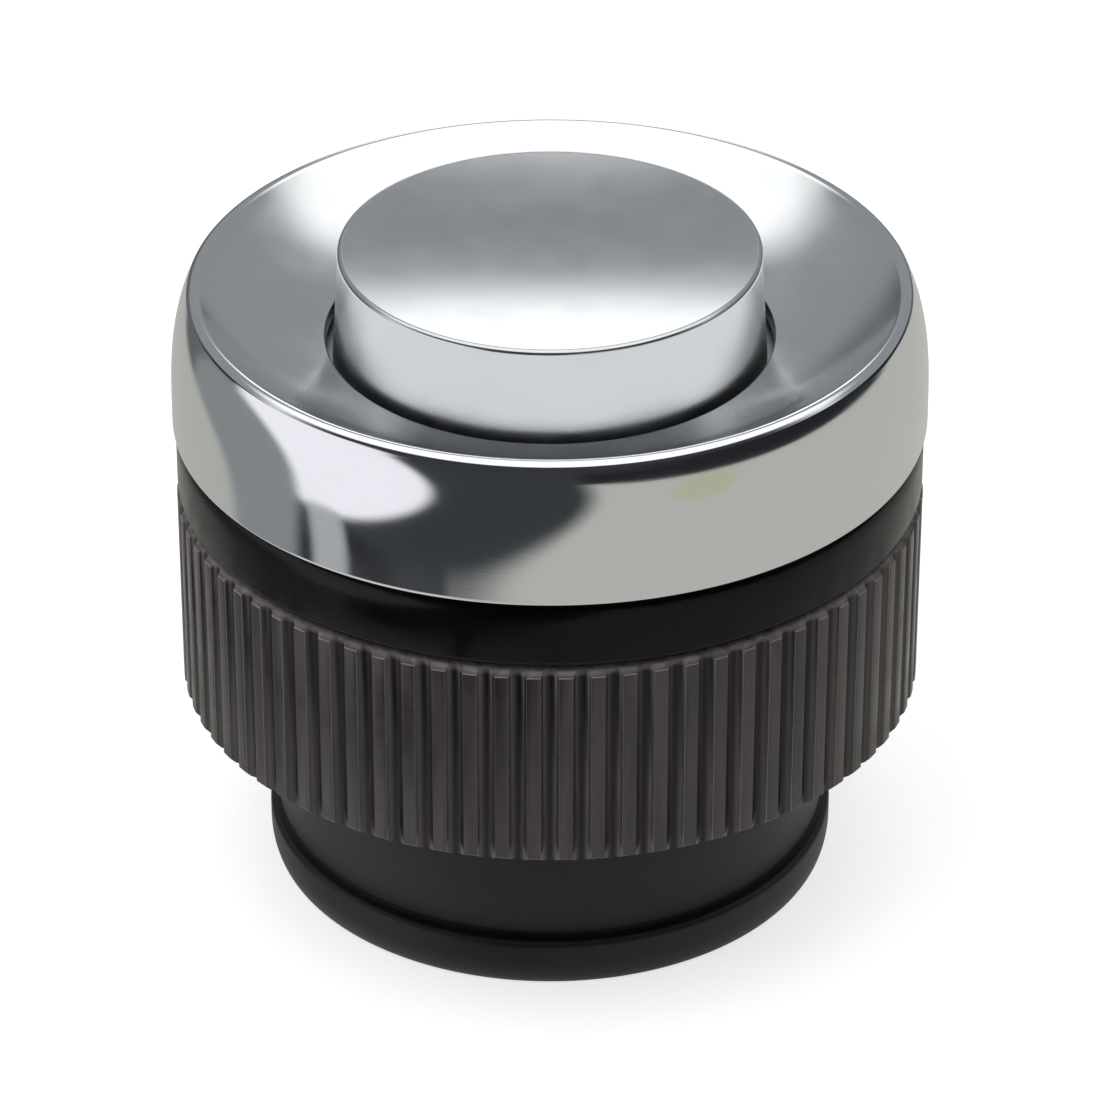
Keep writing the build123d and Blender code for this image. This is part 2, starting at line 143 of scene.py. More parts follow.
@dataclass(frozen=True)
class Finish:
    """A surface finish: what it is made of and how that looks.

    Attributes:
        title: Name of the material in the file.
        tone: sRGB colour of the body or metal.
        roughness: Microscopic roughness before any pattern.
        metallic: 1 for a bare or plated metal.
        ior: Refractive index of a plastic or rubber.
    """

    title: str
    tone: str
    roughness: float
    metallic: float = 0.0
    ior: float = 1.5

    def material(self) -> bpy.types.Material:
        """Builds the material on the first call.

        Returns:
            The material, the same one on every call.
        """
        made = bpy.data.materials.get(self.title)
        if made is None:
            made = bpy.data.materials.new(self.title)
            made.use_nodes = True
            made.diffuse_color = linear(self.tone)
            shader = made.node_tree.nodes["Principled BSDF"]
            shader.inputs["Base Color"].default_value = linear(self.tone)
            shader.inputs["Roughness"].default_value = self.roughness
            shader.inputs["Metallic"].default_value = self.metallic
            if not self.metallic:
                shader.inputs["IOR"].default_value = self.ior
            self.pattern(made.node_tree, shader)
        return made

    def pattern(self, tree: Tree, shader: Node) -> None:
        """Adds the finish's own colour, roughness and relief; each finish has its own."""
        raise NotImplementedError

    def place(self, tree: Tree) -> Socket:
        """Gives the point on the object in metres."""
        return add_node(tree, "TexCoord").outputs["Object"]

    def noise(
        self, tree: Tree, grain: float, detail: float, stretch: Sequence[float] = (1, 1, 1)
    ) -> Socket:
        """Makes a noise whose blobs have a real size.

        Args:
            tree: Node tree of the material.
            grain: Size of a blob in millimetres.
            detail: Octaves of finer noise on it.
            stretch: Share of the grain along each axis, above 1 for longer blobs.

        Returns:
            The noise from 0 to 1.
        """
        scaled = add_node(
            tree,
            "Mapping",
            {"Scale": [1 / (grain * MM * s) for s in stretch]},
            {"Vector": self.place(tree)},
        )
        made = add_node(tree, "TexNoise", {"Scale": 1.0, "Detail": detail}, {"Vector": scaled})
        return made.outputs[0]

    def axis_distance(self, tree: Tree) -> Socket:
        """Gives the distance from the object's axis in metres."""
        flat = add_node(
            tree, "VectorMath", {1: (1, 1, 0)}, {0: self.place(tree)}, operation="MULTIPLY"
        )
        return add_node(tree, "VectorMath", links={0: flat}, operation="LENGTH").outputs["Value"]

    def relief(self, tree: Tree, shader: Node, height: Socket, depth: float) -> None:
        """Raises a pattern from the surface.

        Args:
            tree: Node tree of the material.
            shader: Shader that gets the relief.
            height: Pattern from 0 to 1.
            depth: Height of the pattern in millimetres.
        """
        bump = add_node(tree, "Bump", {"Distance": depth * MM}, {"Height": height})
        tree.links.new(bump.outputs[0], shader.inputs["Normal"])

    def vary(
        self, tree: Tree, shader: Node, socket: str, pattern: Socket, low: float, high: float
    ) -> None:
        """Spreads a number over the surface by a pattern.

        Args:
            tree: Node tree of the material.
            shader: Shader that gets the number.
            socket: Shader input that varies.
            pattern: Pattern from 0 to 1.
            low: Value where the pattern is low.
            high: Value where the pattern is high.
        """
        spread = add_node(tree, "MapRange", between(NOISE_SPAN, (low, high)), {"Value": pattern})
        tree.links.new(spread.outputs[0], shader.inputs[socket])

    def tint(self, tree: Tree, shader: Node, pattern: Socket, low: str, high: str) -> None:
        """Spreads the colour over the surface by a pattern.

        Args:
            tree: Node tree of the material.
            shader: Shader that gets the colour.
            pattern: Pattern from 0 to 1.
            low: Colour where the pattern is low.
            high: Colour where the pattern is high.
        """
        ramp = add_node(tree, "ValToRGB", links={"Fac": pattern})
        for stop, place, tone in zip(ramp.color_ramp.elements, NOISE_SPAN, (low, high)):
            stop.position = place
            stop.color = linear(tone)
        tree.links.new(ramp.outputs[0], shader.inputs["Base Color"])


@dataclass(frozen=True)
class LatheMetal(Finish):
    """Metal turned on a lathe, whose gloss changes at a radius and is a little clouded.

    Attributes:
        ring_pitch: Distance between the tool's or the wheel's rings.
        ring_depth: Height of a ring.
        ring_length: Share of a turn after which a ring fades into another.
        gloss_edge: Radii between which the gloss changes.
        inner_roughness: Roughness within the first radius.
        cloud_grain: Size of the clouds.
        cloud_depth: Factors on the roughness in and between the clouds.
    """

    ring_pitch: float = 0.12
    ring_depth: float = 0.0004
    ring_length: float = 0.3
    gloss_edge: Pair = (16.2, 17.2)
    inner_roughness: float = 0.17
    cloud_grain: float = 3.0
    cloud_depth: Pair = (0.8, 1.25)

    def turned_marks(self, tree: Tree) -> Socket:
        """Makes fine rings round the object's axis, as a lathe or a polishing wheel leaves.

        Args:
            tree: Node tree of the material.

        Returns:
            The rings from 0 to 1.
        """
        parts = add_node(tree, "SeparateXYZ", links={"Vector": self.place(tree)})
        flat = add_node(
            tree, "CombineXYZ", links={"X": parts.outputs["X"], "Y": parts.outputs["Y"]}
        )
        round_way = add_node(tree, "VectorMath", links={0: flat}, operation="NORMALIZE")
        across = add_node(
            tree,
            "Math",
            links={0: self.axis_distance(tree), 1: parts.outputs["Z"]},
            operation="SUBTRACT",
        )
        rings = add_node(
            tree, "Math", {1: 1 / (self.ring_pitch * MM)}, {0: across}, operation="MULTIPLY"
        )
        angle = add_node(
            tree, "VectorMath", {"Scale": 1 / self.ring_length}, {0: round_way}, operation="SCALE"
        )
        made = add_node(
            tree,
            "TexNoise",
            {"Scale": 1.0, "Detail": 2.0},
            {"Vector": angle, "W": rings},
            noise_dimensions="4D",
        )
        return made.outputs[0]

    def cloud_gloss(self, tree: Tree, shader: Node) -> None:
        """Lets the roughness change with the radius, under clouds of uneven polish.

        Args:
            tree: Node tree of the material.
            shader: Shader that gets the roughness.
        """
        by_radius = add_node(
            tree,
            "MapRange",
            between(self.gloss_edge, (self.inner_roughness, self.roughness), MM),
            {"Value": self.axis_distance(tree)},
            interpolation_type="SMOOTHSTEP",
        )
        clouds = add_node(
            tree,
            "MapRange",
            between(NOISE_SPAN, self.cloud_depth),
            {"Value": self.noise(tree, self.cloud_grain, 3.0)},
        )
        gloss = add_node(tree, "Math", links={0: by_radius, 1: clouds}, operation="MULTIPLY")
        tree.links.new(gloss.outputs[0], shader.inputs["Roughness"])


@dataclass(frozen=True)
class PolishedMetal(LatheMetal):
    """Turned metal, buffed and plated: a mirror that is a little soft along the wheel's marks."""

    bore: Pair = (10.95, 11.02)
    # painted shade colour for the wall of the hole, inside the bore radii
    bore_shade_tone: str = "#2a2b2a"

    def pattern(self, tree: Tree, shader: Node) -> None:
        """Adds rings and clouds of polish, the duller dish and painted shade that darkens the wall
        of the hole.

        Args:
            tree: Node tree of the material.
            shader: Shader that gets the pattern.
        """
        self.cloud_gloss(tree, shader)
        # plated is 0 on the hole's wall, which takes the painted shade colour
        plated = add_node(
            tree, "MapRange", between(self.bore, unit=MM), {"Value": self.axis_distance(tree)}
        )
        tone = add_node(
            tree,
            "Mix",
            {6: linear(self.bore_shade_tone), 7: linear(self.tone)},
            {0: plated},
            data_type="RGBA",
        )
        tree.links.new(tone.outputs[2], shader.inputs["Base Color"])
        self.relief(tree, shader, self.turned_marks(tree), self.ring_depth)


@dataclass(frozen=True)
class TurnedMetal(LatheMetal):
    """Turned metal, blasted and anodised: satin, the tool's rings almost gone, its side duller."""

    ring_pitch: float = 0.14
    ring_depth: float = 0.00008
    ring_length: float = 0.5
    blast_grain: float = 0.07
    blast_depth: float = 0.00012
    gloss_edge: Pair = (10.44, 10.55)
    inner_roughness: float = 0.2
    cloud_grain: float = 2.5
    cloud_depth: Pair = (0.9, 1.1)

    def pattern(self, tree: Tree, shader: Node) -> None:
        """Adds the blasted skin over what is left of the rings.

        Args:
            tree: Node tree of the material.
            shader: Shader that gets the pattern.
        """
        self.cloud_gloss(tree, shader)
        both = add_node(
            tree,
            "Math",
            {1: self.blast_depth / self.ring_depth},
            {0: self.noise(tree, self.blast_grain, 3.0), 2: self.turned_marks(tree)},
            operation="MULTIPLY_ADD",
        )
        self.relief(tree, shader, both.outputs[0], self.ring_depth)


@dataclass(frozen=True)
class Moulding(Finish):
    """Injection-moulded plastic: even body colour, a skin as glossy as its mould was polished."""

    patch: float = 4.0
    grain: float = 0.25
    grain_depth: float = 0.0008
    spread: float = 0.25

    def pattern(self, tree: Tree, shader: Node) -> None:
        """Adds faint flow patches in the gloss and the mould's own fine grain.

        Args:
            tree: Node tree of the material.
            shader: Shader that gets the pattern.
        """
        flow = self.noise(tree, self.patch, 2.0, (1, 1, 0.5))
        glossy, dull = (self.roughness * (1 + way * self.spread) for way in (-1, 1))
        self.vary(tree, shader, "Roughness", flow, glossy, dull)
        self.relief(tree, shader, self.noise(tree, self.grain, 3.0), self.grain_depth)


@dataclass(frozen=True)
class FlutedMoulding(Moulding):
    """Moulded plastic with flutes: painted shade makes them dark and dull in their depth, painted
    highlights make the lands paler at their edges and top.
    """

    # painted shade colour in the depth of the flutes
    groove_shade_tone: str = "#101011"
    # painted highlight colour on the lands' outer edges and top chamfer
    highlight_tone: str = "#948b88"
    flow_tone: str = "#2a2526"
    flow_grain: float = 0.9
    flow_length: float = 14
    flow_edges: Pair = (0.38, 0.62)
    # grain of the patchy painted highlight on the chamfer, and strength of the one on the edges
    highlight_grain: float = 0.5
    edge_highlight: float = 0.85
    # specular level in the flutes and on the lands; the low one in the flutes is painted shade
    shine_and_groove_shade: Pair = (0.12, 0.6)
    groove: Pair = (18.06, 18.17)
    edge: Pair = (18.37, 0.02)
    chamfer: Pair = (20.5, 20.72)

    def pattern(self, tree: Tree, shader: Node) -> None:
        """Adds painted shade in the flutes and painted highlights on the lands' outer edges and
        top chamfer to the moulded skin.

        Args:
            tree: Node tree of the material.
            shader: Shader that gets the pattern.
        """
        super().pattern(tree, shader)
        # land is 0 in the flutes, where the colour and the specular level take painted shade
        land = add_node(
            tree, "MapRange", between(self.groove, unit=MM), {"Value": self.axis_distance(tree)}
        )
        height = add_node(tree, "SeparateXYZ", links={"Vector": self.place(tree)})
        upper = add_node(
            tree, "MapRange", between(self.chamfer, unit=MM), {"Value": height.outputs["Z"]}
        )
        # painted highlight on the top chamfer, broken into patches by noise
        chamfer_highlight = add_node(
            tree,
            "Math",
            links={0: upper, 1: self.noise(tree, self.highlight_grain, 2.0)},
            operation="MULTIPLY",
        )
        # painted highlight on a thin band at the edge radius, along the lands
        edges = add_node(
            tree,
            "Math",
            {1: self.edge[0] * MM, 2: self.edge[1] * MM},
            {0: self.axis_distance(tree)},
            operation="COMPARE",
        )
        pale = add_node(
            tree,
            "Math",
            {1: self.edge_highlight},
            {0: edges, 2: chamfer_highlight},
            operation="MULTIPLY_ADD",
            use_clamp=True,
        )
        flow = add_node(
            tree,
            "MapRange",
            between(self.flow_edges),
            {"Value": self.noise(tree, self.flow_grain, 2.0, (1, 1, self.flow_length))},
        )
        body = add_node(
            tree,
            "Mix",
            {6: linear(self.flow_tone), 7: linear(self.tone)},
            {0: flow},
            data_type="RGBA",
        )
        # painted shade darkens the flutes' depth
        depth = add_node(
            tree,
            "Mix",
            {6: linear(self.groove_shade_tone)},
            {0: land, 7: body.outputs[2]},
            data_type="RGBA",
        )
        # the painted highlights lighten the colour over everything else
        tone = add_node(
            tree,
            "Mix",
            {7: linear(self.highlight_tone)},
            {0: pale, 6: depth.outputs[2]},
            data_type="RGBA",
        )
        tree.links.new(tone.outputs[2], shader.inputs["Base Color"])
        # the specular level drops in the flutes as painted shade in their reflection
        level = add_node(tree, "MapRange", between((0, 1), self.shine_and_groove_shade), {"Value": land})
        tree.links.new(level.outputs[0], shader.inputs["Specular IOR Level"])


@dataclass(frozen=True)
class Rubber(Finish):
    """Moulded rubber: a dull skin with a faint bloom that lightens it in patches."""

    bloom: str = "#2b2c31"
    patch: float = 2.2
    sheen: Pair = (0.05, 0.4)
    grain: float = 0.12
    grain_depth: float = 0.0025

    def pattern(self, tree: Tree, shader: Node) -> None:
        """Adds the bloom, a velvety edge and a fine skin.

        Args:
            tree: Node tree of the material.
            shader: Shader that gets the pattern.
        """
        self.tint(tree, shader, self.noise(tree, self.patch, 4.0), self.tone, self.bloom)
        shader.inputs["Sheen Weight"].default_value = self.sheen[0]
        shader.inputs["Sheen Roughness"].default_value = self.sheen[1]
        self.relief(tree, shader, self.noise(tree, self.grain, 3.0), self.grain_depth)


@dataclass(frozen=True)
class PressedFibre(Finish):
    """Vulcanised fibre sheet, punched: dull, with short fibres lying in its plane."""

    fibre: str = "#3a3632"
    width: float = 0.18
    lay: tuple[float, float, float] = (4, 1, 0.5)
    fibre_depth: float = 0.004

    def pattern(self, tree: Tree, shader: Node) -> None:
        """Adds the fibres as short streaks in colour and relief.

        Args:
            tree: Node tree of the material.
            shader: Shader that gets the pattern.
        """
        streaks = self.noise(tree, self.width, 4.0, self.lay)
        self.tint(tree, shader, streaks, self.tone, self.fibre)
        self.relief(tree, shader, streaks, self.fibre_depth)


@dataclass(frozen=True)
class StampedMetal(Finish):
    """Rolled, stamped or drawn metal: a grain along the rolling, duller spots of handling."""

    grain: float = 0.09
    grain_way: tuple[float, float, float] = (8, 1, 1)
    grain_depth: float = 0.0012
    spread: Pair = (0.7, 1.4)
    spot: str = "#8a6a36"
    spot_size: float = 1.1

    def pattern(self, tree: Tree, shader: Node) -> None:
        """Adds the rolled grain and the spots.

        Args:
            tree: Node tree of the material.
            shader: Shader that gets the pattern.
        """
        grain = self.noise(tree, self.grain, 3.0, self.grain_way)
        self.tint(tree, shader, self.noise(tree, self.spot_size, 4.0), self.spot, self.tone)
        glossy, dull = (self.roughness * factor for factor in self.spread)
        self.vary(tree, shader, "Roughness", grain, glossy, dull)
        self.relief(tree, shader, grain, self.grain_depth)


# Chromed brass, buffed: reads as a near mirror with faint rings, brightest where it sees the lamps
BEZEL_CHROME = PolishedMetal("chromed_brass_buffed", "#e4e6e8", 0.085, 1.0)
# Aluminium, turned, blasted and clear anodised: pale and silky, its side duller than its top
CAP_ALUMINIUM = TurnedMetal("aluminium_turned_anodised", "#d0d3d6", 0.38, 1.0)
# Black ABS from a polished mould: deep black, with faint and even highlights
HOUSING_ABS = Moulding("abs_moulded_gloss_black", "#060607", 0.22, ior=1.29)
# Glass-filled nylon: brownish black lands in uneven streaks, flutes near black by painted shade,
# painted highlights on the edges
NUT_NYLON = FlutedMoulding(
    "nylon_glass_filled_fluted", "#44393b", 0.28, ior=1.6, grain_depth=0.003, spread=0.35
)
# Nitrile rubber: bluish black and dull, with a soft bloom
BOOT_RUBBER = Rubber("nitrile_rubber_moulded", "#0f1013", 0.46, ior=1.45, bloom="#18191d")
# Neoprene sealing rings: flat black
SEAL_RUBBER = Rubber("neoprene_ring_moulded", "#151516", 0.6, ior=1.52, bloom="#222224")
# Vulcanised fibre, punched: dull dark grey with fibres
WASHER_FIBRE = PressedFibre("vulcanised_fibre_punched", "#26241f", 0.65, ior=1.5)
# Acetal, natural: waxy off-white
PLUNGER_ACETAL = Moulding("acetal_moulded_natural", "#dedbd0", 0.38, ior=1.48)
# Phenolic: dark brown, hard and slightly speckled
BASE_PHENOLIC = Moulding(
    "phenolic_compression_moulded", "#2c2320", 0.42, ior=1.6, grain_depth=0.003
)
# Brass strip, stamped: warm yellow with handling spots
CONTACT_BRASS = StampedMetal("brass_strip_stamped", "#d3ad62", 0.3, 1.0)
# Silver rivets, headed: pale, with a first grey tarnish
CONTACT_SILVER = StampedMetal("silver_rivet_headed", "#dcd9d2", 0.28, 1.0, spot="#a9a39a")
# Stainless spring wire, drawn: mid grey with fine die lines
SPRING_STEEL = StampedMetal("spring_wire_drawn", "#b4b3b0", 0.27, 1.0, spot="#8f8e8c")
# Zinc-plated steel: cool bright grey, faintly blue
SCREW_STEEL = StampedMetal("steel_zinc_plated", "#c3c7cb", 0.33, 1.0, spot="#9aa0a6")


# Modelling helpers


def deselect_all() -> None:
    """Leaves edit mode and clears the selection, which the loaded model leaves full."""
    if bpy.context.object and bpy.context.object.mode != "OBJECT":
        bpy.ops.object.mode_set(mode="OBJECT")
    for other in bpy.context.view_layer.objects:
        other.select_set(False)


def apply_place(piece: Piece) -> None:
    """Makes a piece the only selected one and moves its place into its mesh.

    Args:
        piece: Mesh object, moved, turned or scaled.
    """
    deselect_all()
    piece.select_set(True)
    bpy.context.view_layer.objects.active = piece
    bpy.ops.object.transform_apply()


def apply_modifier(piece: Piece, kind: str, **settings: Any) -> None:
    """Adds a modifier to a piece and applies it.

    Args:
        piece: Active mesh object.
        kind: Blender's name of the modifier's type.
        **settings: Fields of the modifier.
    """
    made = piece.modifiers.new(kind.title(), kind)
    for name, setting in settings.items():
        setattr(made, name, setting)
    bpy.context.view_layer.objects.active = piece
    bpy.ops.object.modifier_apply(modifier=made.name)


def arc_points(centre: Vector, begin: Vector, end: Vector, steps: int) -> list[Pair]:
    """Gives the points of an arc.

    Args:
        centre: Centre of the arc.
        begin: Point where it begins.
        end: Point where it ends.
        steps: Number of straight pieces.

    Returns:
        The points, with both of the ends.
    """
    spoke = begin - centre
    span = spoke.angle_signed(end - centre)
    made = []
    for step in range(steps + 1):
        turned = spoke.copy()
        turned.rotate(Matrix.Rotation(-span * step / steps, 2))
        made.append(tuple(centre + turned))
    return made


@dataclass
class HalfSection:
    """Half section of a turned piece, walked in millimetres as (radius, height) points."""

    points: list[Pair] = field(default_factory=list)

    def to(self, *corners: Pair) -> "HalfSection":
        """Adds straight runs to the given corners and returns the outline."""
        self.points.extend(corners)
        return self

    def bow(self, end: Pair, sag: float, steps: int) -> None:
        """Adds an arc from the last point.

        Args:
            end: Point where the arc ends.
            sag: Rise of the arc over its chord, to the right of the way it is walked.
            steps: Number of straight pieces.
        """
        begin = Vector(self.points[-1])
        chord = Vector(end) - begin
        side = Vector((chord.y, -chord.x)).normalized()
        reach = (chord.length**2 / 4 + sag**2) / (2 * sag)
        centre = begin + chord / 2 - side * (reach - sag)
        self.points.extend(arc_points(centre, begin, Vector(end), steps)[1:-1])
        self.points.append(end)

    def round_corner(self, corner: int, radius: float, steps: int) -> None:
        """Rounds one corner where two runs meet, and drops the points that the round passes.

        Args:
            corner: Number of the corner among the points.
            radius: Radius of the round.
            steps: Number of straight pieces.
        """
        tip = Vector(self.points[corner])
        past = [Vector(p) - tip for p in self.points[corner - 1::-1]]
        coming = [Vector(p) - tip for p in self.points[corner + 1:]]
        back, ahead = past[0].normalized(), coming[0].normalized()
        for _ in range(3):  # the leg's length and its direction depend on each other
            half = back.angle(ahead) / 2
            leg = radius / math.tan(half)
            back = min(past, key=lambda p: abs(p.length - leg)).normalized()
            ahead = min(coming, key=lambda p: abs(p.length - leg)).normalized()
        centre = tip + (back + ahead).normalized() * radius / math.sin(half)
        made = arc_points(centre, tip + back * leg, tip + ahead * leg, steps)
        before = [p for p in self.points[:corner] if (Vector(p) - tip).length > leg]
        after = [p for p in self.points[corner + 1:] if (Vector(p) - tip).length > leg]
        self.points = before + made + after


def turn(name: str, outline: HalfSection, steps: int, closed: bool = True) -> Piece:
    """Turns a piece: a circle is extruded and scaled from point to point of the half section.

    Args:
        name: Name of the piece.
        outline: Half section of the piece.
        steps: Number of facets round the piece.
        closed: Whether the section ends where it began; if not, both ends are capped.

    Returns:
        The piece.
    """
    deselect_all()
    radius, height = outline.points[0]
    bpy.ops.mesh.primitive_circle_add(
        vertices=steps, radius=radius * MM, location=(0, 0, height * MM)
    )
    piece = bpy.context.object
    piece.name = name
    bpy.ops.object.transform_apply()
    bpy.ops.object.mode_set(mode="EDIT")
    bpy.ops.mesh.select_mode(type="EDGE")
    bpy.ops.mesh.select_all(action="SELECT")
    way = outline.points + outline.points[:1] if closed else outline.points
    for (r0, z0), (r1, z1) in zip(way, way[1:]):
        bpy.ops.mesh.extrude_edges_move(TRANSFORM_OT_translate={"value": (0, 0, (z1 - z0) * MM)})
        bpy.ops.transform.resize(value=(r1 / r0, r1 / r0, 1), center_override=(0, 0, z1 * MM))
    bpy.ops.mesh.select_all(action="SELECT")
    bpy.ops.mesh.remove_doubles(threshold=WELD_TURNED)
    if not closed:
        bpy.ops.mesh.select_all(action="DESELECT")
        bpy.ops.mesh.select_non_manifold(extend=False)
        bpy.ops.mesh.fill_holes(sides=steps)
        bpy.ops.mesh.select_all(action="SELECT")
    bpy.ops.mesh.normals_make_consistent()
    bpy.ops.object.mode_set(mode="OBJECT")
    bpy.ops.object.shade_smooth_by_angle(angle=SMOOTH_ANGLE)
    return piece


def work_copy(node: str, name: str, edge: float) -> Piece:
    """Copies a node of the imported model, merges its facets and breaks its sharp edges.

    Args:
        node: Name of the node.
        name: Name of the copy.
        edge: Width of the broken edges in millimetres.

    Returns:
        The copy, which belongs to no body yet.
    """
    deselect_all()
    source = frame["nodes"][node]
    piece = bpy.data.objects.new(name, source.data.copy())
    piece.matrix_world = source.matrix_world
    bpy.context.collection.objects.link(piece)
    apply_place(piece)
    bpy.ops.object.mode_set(mode="EDIT")
    bpy.ops.mesh.select_all(action="SELECT")
    bpy.ops.mesh.remove_doubles(threshold=WELD_COPIED)
    bpy.ops.mesh.dissolve_limited(angle_limit=FLAT_ANGLE)
    bpy.ops.mesh.normals_make_consistent()
    bpy.ops.object.mode_set(mode="OBJECT")
    apply_modifier(
        piece,
        "BEVEL",
        width=edge * MM,
        segments=2,
        limit_method="ANGLE",
        angle_limit=SMOOTH_ANGLE,
    )
    bpy.ops.object.shade_smooth_by_angle(angle=SMOOTH_ANGLE)
    return piece


def wind(
    name: str, sides: int, size: Pair, start: Pair, pitch: float, turns: int, steps: int
) -> Piece:
    """Winds a bar or wire from its own section, right-handed and rising.

    Args:
        name: Name of the coil.
        sides: Number of corners of the section.
        size: Half width and half height of the section in millimetres.
        start: Radius of the coil and height of its lower end.
        pitch: Rise in a turn.
        turns: Number of turns.
        steps: Number of straight pieces in a turn.

    Returns:
        The coil, with both ends closed.
    """
    deselect_all()
    bpy.ops.mesh.primitive_circle_add(
        vertices=sides,
        radius=MM,
        location=(start[0] * MM, 0, start[1] * MM),
        rotation=(math.pi / 2, 0, 0),
    )
    coil = bpy.context.object
    coil.name = name
    coil.scale = (*size, 1)
    bpy.ops.object.transform_apply()
    apply_modifier(
        coil,
        "SCREW",
        axis="Z",
        angle=math.tau,
        screw_offset=pitch * MM,
        iterations=turns,
        steps=steps,
        render_steps=steps,
    )
    bpy.ops.object.mode_set(mode="EDIT")
    bpy.ops.mesh.select_all(action="SELECT")
    bpy.ops.mesh.remove_doubles(threshold=WELD_WOUND)
    bpy.ops.mesh.select_all(action="DESELECT")
    bpy.ops.mesh.select_non_manifold(extend=False)
    bpy.ops.mesh.fill_holes(sides=sides)
    bpy.ops.mesh.select_all(action="SELECT")
    bpy.ops.mesh.normals_make_consistent()
    bpy.ops.object.mode_set(mode="OBJECT")
    bpy.ops.object.shade_smooth_by_angle(angle=COIL_ANGLE)
    return coil


def settle(piece: Piece, body: str, finish: Finish) -> Piece:
    """Puts a finished piece's place into its mesh, dresses it and lets it ride on a body.

    Args:
        piece: Mesh object, modelled where it belongs.
        body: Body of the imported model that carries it.
        finish: Finish of the whole piece.

    Returns:
        The same piece.
    """
    apply_place(piece)
    piece.data.materials.clear()
    piece.data.materials.append(finish.material())
    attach(piece, body)
    LOG.info("%s: %s", piece.name, finish.title)
    return piece


def dress_nodes(finish: Finish, *names: str) -> None:
    """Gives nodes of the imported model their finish.

    Args:
        finish: Finish for all of their faces.
        *names: Names of the nodes.
    """
    for name in names:
        node = frame["nodes"][name]
        if not node.material_slots:
            node.data.materials.append(finish.material())
        for slot in node.material_slots:
            slot.material = finish.material()
        LOG.info("%s: %s", name, finish.title)


# Sub-assemblies


@dataclass
class Bezel:
    """Polished ring with its two seals."""

    foot: float = 24.6
    radius: float = 18.49
    bore: float = 15.45
    foot_round: float = 0.16
    rim: Pair = (17.352, 31.95)
    rim_round: float = 0.45
    swell: float = 3.58
    arc_steps: int = 64
    rim_steps: int = 32
    edge_steps: int = 6
    hole: Pair = (10.93, 28.95)
    hole_round: float = 0.07
    dish_sag: float = 0.5
    lip_bottom: float = 28.3
    facets: int = 256

    def side_point(self, share: float) -> Pair:
        """Gives a point of the side, which is upright at the foot and swells in to the rim.

        Args:
            share: Height of the point as a share of the side.

        Returns:
            Radius and height.
        """
        inset = (self.radius - self.rim[0]) * share**self.swell
        return self.radius - inset, self.foot + (self.rim[1] - self.foot) * share

    def build(self) -> None:
        """Turns the ring with its bulged side, round rim and dish, and dresses the seals."""
        outline = HalfSection().to((self.bore, self.foot), (self.radius, self.foot))
        outline.to(*(self.side_point(step / self.arc_steps) for step in range(1, self.arc_steps)))
        outline.to(self.rim)
        rim_corner = len(outline.points) - 1
        outline.bow(self.hole, -self.dish_sag, self.arc_steps)
        hole_corner = len(outline.points) - 1
        outline.to((self.hole[0], self.lip_bottom), (self.bore, self.lip_bottom))
        outline.round_corner(hole_corner, self.hole_round, self.edge_steps)
        outline.round_corner(rim_corner, self.rim_round, self.rim_steps)
        outline.round_corner(1, self.foot_round, self.edge_steps)
        ring = turn("bezel_ring_turned", outline, self.facets)
        settle(ring, "housing", BEZEL_CHROME)
        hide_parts("bezel_ring")
        dress_nodes(SEAL_RUBBER, "bezel_oring", "lip_gasket")


@dataclass
class Button:
    """Cap, plunger and the wire ring that joins them."""

    top: float = 33.6
    rim_radius: float = 10.55
    rim_round: float = 0.22
    dish: float = 0.8
    skirt_radius: float = 10.6
    flange_radius: float = 12.1
    flange_top: float = 27.75
    foot: float = 26.75
    bore: float = 9.17
    head: float = 31.6
    pole: float = 0.04
    dish_steps: int = 96
    rim_steps: int = 10
    facets: int = 192

    def build(self) -> None:
        """Turns the cap with its dished top and tapered side, and dresses the rest."""
        outline = HalfSection().to(
            (self.pole, self.head),
            (self.bore, self.head),
            (self.bore, self.foot),
            (self.flange_radius, self.foot),
            (self.flange_radius, self.flange_top),
            (self.skirt_radius, self.flange_top),
            (self.rim_radius, self.top),
        )
        rim_corner = len(outline.points) - 1
        outline.bow((self.pole, self.top - self.dish), -self.dish / 4, self.dish_steps)
        outline.round_corner(rim_corner, self.rim_round, self.rim_steps)
        cap = turn("button_cap_turned", outline, self.facets, closed=False)
        settle(cap, "button", CAP_ALUMINIUM)
        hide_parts("button_cap")
        dress_nodes(PLUNGER_ACETAL, "plunger")
        dress_nodes(SPRING_STEEL, "cap_snap_ring")


@dataclass
class ReturnSpring:
    """Compression spring under the button, which the button shortens; the coil here keeps its
    length.
    """

    wire: float = 0.35
    radius: float = 4.7
    turns: int = 5
    bottom: float = 22.4
    top: float = 30.5325
    press: float = 1.6
    wire_sides: int = 14
    steps_a_turn: int = 48

    def build(self) -> None:
        """Winds the coil from one round section and lets it ride on the housing."""
        coil = wind(
            "return_spring_coil",
            self.wire_sides,
            (self.wire, self.wire),
            (self.radius, self.bottom + self.wire),
            (self.top - self.bottom - 2 * self.wire) / self.turns,
            self.turns,
            self.steps_a_turn,
        )
        settle(coil, "housing", SPRING_STEEL)
        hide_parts("return_spring")
        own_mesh(coil)
        LOG.info("return spring: %d turns, %d faces", self.turns, len(coil.data.polygons))


@dataclass
class ContactBridge:
    """Bar that the plunger pulls down on the contacts, with its clip, spring and rivets."""

    def build(self) -> None:
        """Dresses the bridge's pieces."""
        dress_nodes(CONTACT_BRASS, "contact_bridge")
        dress_nodes(SPRING_STEEL, "bridge_clip", "bridge_spring")
        dress_nodes(CONTACT_SILVER, "bridge_tip_left", "bridge_tip_right")


